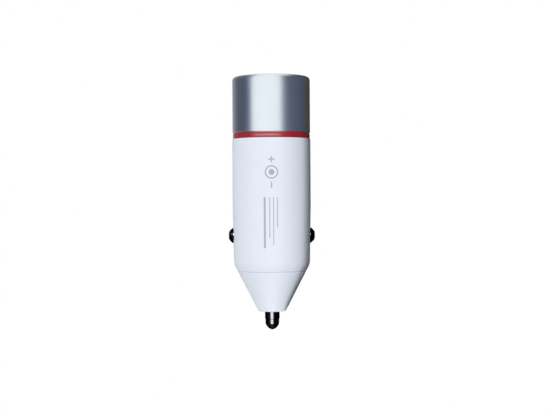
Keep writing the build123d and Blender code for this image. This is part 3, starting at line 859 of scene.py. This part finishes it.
# %% Ferrite, ceramic and steel
ferrite = moulded(
    "ferrite", grains=11000, clouds=500, roughness=(0.55, 0.75), depth=0.012 * MM,
    tones=((0.028, 0.027, 0.028), (0.052, 0.050, 0.050)),
)
ceramic = moulded(
    "tan ceramic", grains=9000, clouds=1200, roughness=(0.4, 0.55),
    tones=((0.36, 0.22, 0.11), (0.46, 0.30, 0.16)),
)
spring_steel = worked_metal(
    "spring steel", turned_lines, spacing=15000, patches=900, roughness=(0.22, 0.38), depth=0.001 * MM,
    tones=((0.50, 0.50, 0.51), (0.62, 0.62, 0.63)),
)
finishes.update(ferrite=ferrite, passive_tan=ceramic, spring_steel=spring_steel)
print("Made", [material.name for material in (ferrite, ceramic, spring_steel)])

# %% Brass, copper and tin
brass = smooth_metal(
    "tarnished brass", patches=600, tones=((0.74, 0.53, 0.22), (0.55, 0.38, 0.16)), roughness=(0.26, 0.45)
)
brass_lines = effect(brass, rolled_lines, lines_per_metre=6000)
relief(brass, brass_lines["Lines"], 0.0015 * MM)
enamel = smooth_metal(
    "enamelled copper", patches=700, tones=((0.62, 0.25, 0.10), (0.50, 0.17, 0.06)), roughness=(0.22, 0.34),
    coat_weight=0.8, coat_roughness=0.1,
)
tin = smooth_metal(
    "bright tin", patches=1500, tones=((0.70, 0.69, 0.67), (0.58, 0.57, 0.55)), roughness=(0.18, 0.40)
)
finishes.update(terminal_brass=brass, copper=enamel)
print("Made", [material.name for material in (brass, enamel, tin)])

# %% [markdown]
# ## Dress the CAD pieces
# Each CAD piece has one material slot, named for its finish in the parts list. Four pieces have places
# of their own in their finish, so they get theirs by name.

# %% Put the finishes on
by_name = {
    "converter_chip": chip_epoxy,
    "rectifier_diode": diode_epoxy,
    "input_capacitor": can_input,
    "output_capacitor": can_output,
}
for name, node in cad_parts.items():
    for slot in node.material_slots:
        slot.material = by_name.get(name) or finishes[slot.material.name]
print("Finishes on", len(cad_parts), "pieces")

# %% [markdown]
# ## Crowned ring
# The ring is one moulded band, clamped between the barrel and the head and nearly flush with both. Its face
# is slightly crowned, so a light in front draws one thin pale line along its middle. It could be spun from a
# profile. Here the wall of a cylinder is cut into levels, and each level is pushed out by its share of the
# crown, because that keeps the crown in one number. It takes the place of the CAD ring, whose edges are
# rounder.


# %% Helpers for shaping
def cut_across(point, normal):
    """In edit mode, cut the whole mesh where a plane crosses it."""
    bpy.ops.mesh.select_all(action="SELECT")
    bpy.ops.mesh.bisect(plane_co=point, plane_no=normal)


def select_edges(piece, wanted):
    """In edit mode, select only the edges that pass a test."""
    bpy.ops.mesh.select_mode(type="EDGE")
    bpy.ops.mesh.select_all(action="DESELECT")
    mesh = bmesh.from_edit_mesh(piece.data)
    for edge in mesh.edges:
        edge.select_set(wanted(edge))
    bmesh.update_edit_mesh(piece.data)


def select_row(piece, level):
    """In edit mode, select the cut that runs across a piece at one height."""
    slack = 0.01 * MM
    select_edges(piece, lambda edge: all(abs(vert.co.z - level) < slack for vert in edge.verts))


def shape_with(piece, kind, **settings):
    """Give the active piece a modifier with its settings, and apply it."""
    modifier = piece.modifiers.new(kind.lower(), kind)
    for label, value in settings.items():
        setattr(modifier, label, value)
    bpy.ops.object.modifier_apply(modifier=modifier.name)


print("Helpers for shaping are ready")

# %% Crown a band
ring_crown = 0.08 * MM
crown_levels = 8
ring_low, ring_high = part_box("accent_ring")
ring_height = ring_high.z - ring_low.z
rim_radius = ring_high.x - ring_crown
bpy.ops.object.select_all(action="DESELECT")
bpy.ops.mesh.primitive_cylinder_add(
    vertices=160, radius=rim_radius, depth=ring_height, end_fill_type="NOTHING",
    location=(0, 0, (ring_low.z + ring_high.z) / 2),
)
crowned_ring = bpy.context.object
crowned_ring.name = "crowned_ring"
bpy.ops.object.transform_apply()
bpy.ops.object.mode_set(mode="EDIT")
shares = [step / crown_levels for step in range(1, crown_levels)]
for share in shares:
    cut_across((0, 0, ring_low.z + share * ring_height), (0, 0, 1))
for share in shares:
    level = ring_low.z + share * ring_height
    growth = 1 + ring_crown * (1 - (2 * share - 1) ** 2) / rim_radius
    select_row(crowned_ring, level)
    bpy.ops.transform.resize(value=(growth, growth, 1), center_override=(0, 0, level))
bpy.ops.mesh.select_mode(type="VERT")
bpy.ops.object.mode_set(mode="OBJECT")
print("Crowned wall:", len(crowned_ring.data.polygons), "faces")

# %% [markdown]
# Solidify gives the wall its thickness, inwards, and a fine bevel breaks its edges. A weak strip of light,
# for the ring alone, then draws the pale line.

# %% Wall and edges of the ring
ring_wall, ring_edge = 0.55 * MM, 0.06 * MM
shape_with(crowned_ring, "SOLIDIFY", thickness=ring_wall)
shape_with(
    crowned_ring, "BEVEL", width=ring_edge, segments=3, limit_method="ANGLE", angle_limit=radians(50)
)
bpy.ops.object.shade_smooth_by_angle(angle=radians(40))
crowned_ring.data.materials.append(ring_red)
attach(crowned_ring, "charger")
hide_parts("accent_ring")
glint_strip("ring_glint", [crowned_ring], turn=-12, rise=5, width=0.7, height=0.12, brightness=3.2)
print("Ring:", len(crowned_ring.data.polygons), "faces, largest radius in mm", round(1000 * ring_high.x, 2))

# %% [markdown]
# ## Printed marks
# A charger of this kind has a small grey print on its barrel. Here it is a plain polarity sign, a dot in a
# ring between a plus and a minus, over four rules. Each mark starts as a flat plane or circle in front of
# the barrel. A Shrinkwrap modifier then lays them on its curved wall, which a texture could do as well,
# but a mesh keeps its edges sharp however near one looks.

# %% Flat marks
print_plane = cad_low.y - 2 * MM
mark_line = 0.34 * MM


def flat_bar(across, up, width, height):
    """A bar in front of the barrel, cut into strips so that it can bend."""
    bpy.ops.mesh.primitive_plane_add(size=1, location=(across, print_plane, up), rotation=(pi / 2, 0, 0))
    bar = bpy.context.object
    bar.scale = (width, height, 1)
    bpy.ops.object.transform_apply()
    bpy.ops.object.mode_set(mode="EDIT")
    bpy.ops.mesh.subdivide(number_cuts=5)
    bpy.ops.object.mode_set(mode="OBJECT")
    return bar


def flat_disc(up, radius, open_middle):
    """A disc in front of the barrel, with a rim inset in it. Its middle is taken out, or fanned to bend."""
    bpy.ops.mesh.primitive_circle_add(
        vertices=48, radius=radius, fill_type="NGON", location=(0, print_plane, up), rotation=(pi / 2, 0, 0)
    )
    disc = bpy.context.object
    bpy.ops.object.transform_apply()
    bpy.ops.object.mode_set(mode="EDIT")
    bpy.ops.mesh.select_all(action="SELECT")
    bpy.ops.mesh.inset(thickness=mark_line)
    if open_middle:
        bpy.ops.mesh.delete(type="FACE")
    else:
        bpy.ops.mesh.poke()
    bpy.ops.object.mode_set(mode="OBJECT")
    return disc


print("Marks start on a plane at", round(1000 * print_plane, 2), "mm")

# %% Polarity sign
sign_height, sign_step, sign_bar = -9.0 * MM, 3.3 * MM, 1.6 * MM
ring_mark_radius, dot_radius = 1.75 * MM, 0.75 * MM
sign_arm = (sign_bar - mark_line) / 2
arm_centre = (mark_line + sign_arm) / 2
plus_height = sign_height + sign_step
marks = [
    flat_disc(sign_height, ring_mark_radius, open_middle=True),
    flat_disc(sign_height, dot_radius, open_middle=False),
    flat_bar(0, plus_height, sign_bar, mark_line),
    flat_bar(0, plus_height + arm_centre, mark_line, sign_arm),
    flat_bar(0, plus_height - arm_centre, mark_line, sign_arm),
    flat_bar(0, sign_height - sign_step, mark_line, sign_bar),
]
print("Flat marks for the sign:", len(marks))


# %% Rules under the sign
def select_only(*pieces):
    """Select pieces and nothing else, with the first one active."""
    bpy.ops.object.select_all(action="DESELECT")
    for piece in pieces:
        piece.select_set(True)
    bpy.context.view_layer.objects.active = pieces[0]


def join_as(name, pieces):
    """Join pieces into the first one, under a new name."""
    select_only(*pieces)
    bpy.ops.object.join()
    pieces[0].name = name
    return pieces[0]


rules_start = -15.5
rules = ((-1.8, 13.2, 0.5), (-0.5, 10.6, 0.22), (0.5, 12.4, 0.22), (1.5, 7.8, 0.22))  # aside, length, width
for aside, length, width in rules:
    marks.append(flat_bar(aside * MM, (rules_start - length / 2) * MM, width * MM, length * MM))
printed_marks = join_as("printed_marks", marks)
print("Marks joined:", len(printed_marks.data.polygons), "faces")

# %% Lay the marks on the barrel
ink_lift, ink_film = 0.025 * MM, 0.012 * MM
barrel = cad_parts["body_shell"]
shape_with(
    printed_marks, "SHRINKWRAP", target=barrel, wrap_method="PROJECT", use_project_y=True, offset=ink_lift
)
shape_with(printed_marks, "SOLIDIFY", thickness=ink_film)
ink = finish("grey ink")
grain = effect(ink, mould_grain, grains_per_metre=9000, clouds_per_metre=900)
tint(ink, grain["Cloud"], (0.36, 0.39, 0.44), (0.45, 0.48, 0.53))
span(ink, grain["Grain"], "Roughness", 0.5, 0.65)
printed_marks.data.materials.append(ink)
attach(printed_marks, "charger")
print("Marks lie", [round(1000 * value, 2) for value in printed_marks.bound_box[0]], "mm and up")

# %% [markdown]
# ## Tip spring
# The tip contact is pushed out by a coil of steel wire. The Screw modifier winds it from one small circle:
# each turn climbs by the pitch. Its two cut ends are then filled. When the tip is pressed the coil gets
# shorter. This coil takes the place of the CAD one.


# %% Wind a wire
def wound_wire(name, wire_radius, coil_radius, climb, turns, start, axis):
    """A coil of round wire about the scene's Y or Z axis, ending in flat cuts."""
    along = "XYZ".index(axis)
    half_way = start[along] + climb / 2
    bpy.ops.mesh.primitive_circle_add(vertices=12, radius=wire_radius, rotation=(pi / 2, 0, 0))
    coil = bpy.context.object
    coil.name = name
    bpy.ops.object.transform_apply()
    bpy.ops.object.mode_set(mode="EDIT")
    if axis == "Y":
        bpy.ops.transform.rotate(value=pi / 2, orient_axis="X", center_override=(0, 0, 0))
    bpy.ops.transform.translate(value=Vector((coil_radius, 0, 0)) + start)
    bpy.ops.object.mode_set(mode="OBJECT")
    shape_with(
        coil, "SCREW", axis=axis, iterations=turns, screw_offset=climb / turns, steps=40, render_steps=40
    )
    bpy.ops.object.mode_set(mode="EDIT")
    for upper in (False, True):
        select_edges(
            coil, lambda edge: edge.is_boundary and (edge.verts[0].co[along] > half_way) == upper
        )
        bpy.ops.mesh.edge_face_add()
    bpy.ops.mesh.select_all(action="SELECT")
    bpy.ops.mesh.normals_make_consistent(inside=False)
    bpy.ops.mesh.select_mode(type="VERT")
    bpy.ops.object.mode_set(mode="OBJECT")
    bpy.ops.object.shade_smooth_by_angle(angle=radians(50))
    return coil


print("Wire can be wound")

# %% Coil behind the tip
spring_wire, spring_turns = 0.25 * MM, 6
spring_low, spring_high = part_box("contact_spring")
spring_length = spring_high.z - spring_low.z
tip_spring = wound_wire(
    "tip_spring",
    wire_radius=spring_wire,
    coil_radius=spring_high.x - spring_wire,
    climb=spring_length - 2 * spring_wire,
    turns=spring_turns,
    start=Vector((0, 0, spring_low.z + spring_wire)),
    axis="Z",
)
tip_spring.data.materials.append(spring_steel)
print("Tip spring:", len(tip_spring.data.polygons), "faces")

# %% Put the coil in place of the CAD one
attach(tip_spring, "charger")
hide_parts("contact_spring")
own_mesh(tip_spring)

# %% [markdown]
# ## Bow springs
# Behind each side contact a steel strip is bent to a bow between the board's edge and the contact. It starts
# as a plane, which is cut across where the bends come. The middle row moves out, the bends are rounded by a
# bevel, and Solidify gives the strip its thickness. The right one is a mirrored copy.

# %% Bend a strip
bow_thickness, bow_bend, bow_slope = 0.3 * MM, 1.0 * MM, radians(42)
bow_low, bow_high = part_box("ground_spring_left")
foot_line = bow_high.x - bow_thickness / 2
crest_line = bow_low.x + bow_thickness / 2 - bow_bend * (1 / cos(bow_slope) - 1)
bow_middle = (bow_low.z + bow_high.z) / 2
half_span = (foot_line - crest_line) / tan(bow_slope)
feet = (bow_middle - half_span, bow_middle + half_span)
bpy.ops.mesh.primitive_plane_add(size=1, location=(foot_line, 0, bow_middle), rotation=(0, -pi / 2, 0))
bow_left = bpy.context.object
bow_left.name = "bow_spring_left"
bow_left.scale = (bow_high.z - bow_low.z, bow_high.y - bow_low.y, 1)
bpy.ops.object.transform_apply()
bpy.ops.object.mode_set(mode="EDIT")
for level in (feet[0], bow_middle, feet[1]):
    cut_across((0, 0, level), (0, 0, 1))
select_row(bow_left, bow_middle)
bpy.ops.transform.translate(value=(crest_line - foot_line, 0, 0))
for level, turn in ((bow_middle, 2 * bow_slope), (feet[0], bow_slope), (feet[1], bow_slope)):
    select_row(bow_left, level)
    bpy.ops.mesh.bevel(offset=bow_bend * tan(turn / 2), segments=10)
bpy.ops.object.mode_set(mode="OBJECT")
shape_with(bow_left, "SOLIDIFY", thickness=bow_thickness, offset=0)
bpy.ops.object.shade_smooth_by_angle(angle=radians(35))
bow_left.data.materials.append(spring_steel)
print("Bow spring:", len(bow_left.data.polygons), "faces")


# %% Mirror it and put both in place of the CAD strips
def copy_of(piece):
    """A copy of a piece, with a mesh of its own."""
    select_only(piece)
    bpy.ops.object.duplicate(linked=False)
    return bpy.context.object


bow_right = copy_of(bow_left)
bow_right.name = "bow_spring_right"
bpy.ops.object.mode_set(mode="EDIT")
bpy.ops.mesh.select_all(action="SELECT")
bpy.ops.transform.resize(value=(-1, 1, 1), center_override=(0, 0, 0))
bpy.ops.mesh.normals_make_consistent(inside=False)
bpy.ops.object.mode_set(mode="OBJECT")
for piece, side, aside in ((bow_left, "left", bow_high.x), (bow_right, "right", -bow_high.x)):
    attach(piece, "charger")
    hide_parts(f"ground_spring_{side}")
    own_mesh(piece)

# %% [markdown]
# ## Inductor winding
# The inductor's drum carries three layers of copper wire, and each layer is one more coil. They are wound
# by the same helper about the Y axis, then moved down to the drum.

# %% Wind the drum
layers, turns = 3, 6
drum_core_radius = 2.05 * MM
wire_fill = 0.92  # of the room that each turn has
winding_low, winding_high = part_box("inductor_winding")
drum_middle = (winding_low.z + winding_high.z) / 2
winding_width = winding_high.y - winding_low.y
copper_wire = winding_width / turns / 2 * wire_fill
layer_step = (winding_high.x - drum_core_radius) / layers
coils = []
for layer in range(layers):
    coil = wound_wire(
        f"winding_layer_{layer}",
        wire_radius=copper_wire,
        coil_radius=winding_high.x - copper_wire - layer * layer_step,
        climb=winding_width - 2 * copper_wire,
        turns=turns,
        start=Vector((0, winding_low.y + copper_wire, 0)),
        axis="Y",
    )
    coils.append(coil)
winding = join_as("inductor_wire", coils)
winding.location.z = drum_middle
bpy.ops.object.transform_apply()
winding.data.materials.append(enamel)
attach(winding, "charger")
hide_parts("inductor_winding")
print("Winding:", layers, "layers of", turns, "turns,", len(winding.data.polygons), "faces")

# %% [markdown]
# ## Chip parts
# The small capacitors beside the chip and the drum are tan ceramic blocks with a tinned cap at each end.
# One is cut from a cube: two cuts mark off the caps, the caps get the tin, and a bevel rounds every edge.
# The six on the board are copies of it, three lying across the board and three along it.

# %% One chip part
part_length, part_height, part_width = 2.0 * MM, 0.7 * MM, 1.25 * MM
cap_length, part_rounding = 0.42 * MM, 0.06 * MM
cap_line = part_length / 2 - cap_length
bpy.ops.mesh.primitive_cube_add(size=1)
chip_part = bpy.context.object
chip_part.name = "chip_part"
chip_part.scale = (part_length, part_height, part_width)
bpy.ops.object.transform_apply()
chip_part.data.materials.append(ceramic)
chip_part.data.materials.append(tin)
bpy.ops.object.mode_set(mode="EDIT")
for line in (-cap_line, cap_line):
    cut_across((line, 0, 0), (1, 0, 0))
bpy.ops.mesh.select_mode(type="EDGE")
bpy.ops.mesh.select_all(action="DESELECT")
bpy.ops.mesh.edges_select_sharp(sharpness=radians(60))
bpy.ops.mesh.bevel(offset=part_rounding, segments=3)
bpy.ops.object.mode_set(mode="OBJECT")
for face in chip_part.data.polygons:
    face.material_index = int(abs(face.center.x) > cap_line)
bpy.ops.object.shade_smooth_by_angle(angle=radians(35))
print("Chip part:", len(chip_part.data.polygons), "faces")

# %% Copies on the board
parts_low, parts_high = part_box("chip_passives")
part_level = (parts_low.y + parts_high.y) / 2
left_line = parts_low.x + part_length / 2
right_line = parts_high.x - part_width / 2
places = []
for step in (-1, 0, 1):
    places.append(((left_line, part_level, chip_middle.z + step * 2 * part_width), 0))
    places.append(((right_line, part_level, drum_middle + step * 2 * part_length), pi / 2))
copies = []
for place, turn in places:
    copy = copy_of(chip_part)
    copy.location = place
    copy.rotation_euler.y = turn
    bpy.ops.object.transform_apply()
    copies.append(copy)
bpy.data.objects.remove(chip_part)
chip_parts = join_as("chip_parts", copies)
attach(chip_parts, "charger")
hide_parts("chip_passives")
print("Chip parts:", len(places))

# %% [markdown]
# ## Solder
# Every leg, strap and cap sits in a small mound of solder. One mound is a cone with a rounded top, and the
# rest are copies of it, each as wide as the end that it holds.

# %% One mound
mound_top, mound_rounding = 0.55, 0.4  # shares of its radius at the foot
bpy.ops.mesh.primitive_cone_add(vertices=14, radius1=1, radius2=mound_top, depth=1, location=(0, 0, 0.5))
mound = bpy.context.object
mound.name = "solder_mound"
bpy.ops.object.transform_apply()
bpy.ops.object.mode_set(mode="EDIT")
select_edges(mound, lambda edge: all(vert.co.z > 0.9 for vert in edge.verts))
bpy.ops.mesh.bevel(offset=mound_rounding, segments=3)
bpy.ops.object.mode_set(mode="OBJECT")
bpy.ops.object.shade_smooth_by_angle(angle=radians(50))
mound.data.materials.append(tin)
print("Solder mound:", len(mound.data.polygons), "faces")

# %% Solder on the chip, the rectifier and the fuse
blobs = []


def set_mound(across, face, height, sizes):
    """A mound on a face of the board. Its sizes are half width, half height and thickness, in millimetres."""
    blob = copy_of(mound)
    blob.scale = Vector(sizes) * MM
    blob.rotation_euler.x = -pi / 2 if face > 0 else pi / 2
    blob.location = (across, face, height)
    bpy.ops.object.transform_apply()
    blobs.append(blob)


rear, front = board_high.y, board_low.y
leg_pitch, leg_reach = 1.27 * MM, 2.8 * MM
strap_inset = 0.2 * MM
for side in (-1, 1):
    for row in (-1.5, -0.5, 0.5, 1.5):
        set_mound(side * leg_reach, rear, chip_middle.z + row * leg_pitch, (0.42, 0.34, 0.3))
for height in (diode_low.z + strap_inset, diode_high.z - strap_inset):
    set_mound(diode_middle.x, rear, height, (0.9, 0.55, 0.28))
for height in (fuse_low.z, fuse_high.z):
    set_mound(fuse_middle.x, front, height, (1.35, 0.5, 0.6))
print("Mounds so far:", len(blobs))

# %% Solder on the chip parts, the capacitors and the ports
lead_aside, lead_inset = 1.25 * MM, 0.25 * MM
pin_lines, pin_lift = (-3.5, -1.0, 1.0, 3.5), 0.12 * MM  # the four contacts of a port, in millimetres aside
for (across, _, height), turn in places:
    for end in (-part_length / 2, part_length / 2):
        if turn:
            set_mound(across, rear, height + end, (0.6, 0.3, 0.35))
        else:
            set_mound(across + end, rear, height, (0.3, 0.6, 0.35))
for node in ("input_capacitor", "output_capacitor"):
    low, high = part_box(node)
    for aside in (-lead_aside, lead_aside):
        set_mound((low.x + high.x) / 2 + aside, front, high.z - lead_inset, (0.5, 0.5, 0.4))
for line in pin_lines:
    for face in (rear, front):
        set_mound(line * MM, face, contact_low.z + pin_lift, (0.62, 0.42, 0.35))
print("Mounds in all:", len(blobs))

# %% Join the solder
bpy.data.objects.remove(mound)
solder = join_as("solder_joints", blobs)
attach(solder, "charger")
print("Solder:", len(solder.data.polygons), "faces")

# %% [markdown]
# ## Size of the dressed plug
# The dressed plug keeps the CAD model's size. Only the film of print stands out of that box, by a fortieth
# of a millimetre.

# %% Print the size
low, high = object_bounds()
print("Box in mm:", [round(1000 * side, 2) for side in high - low])
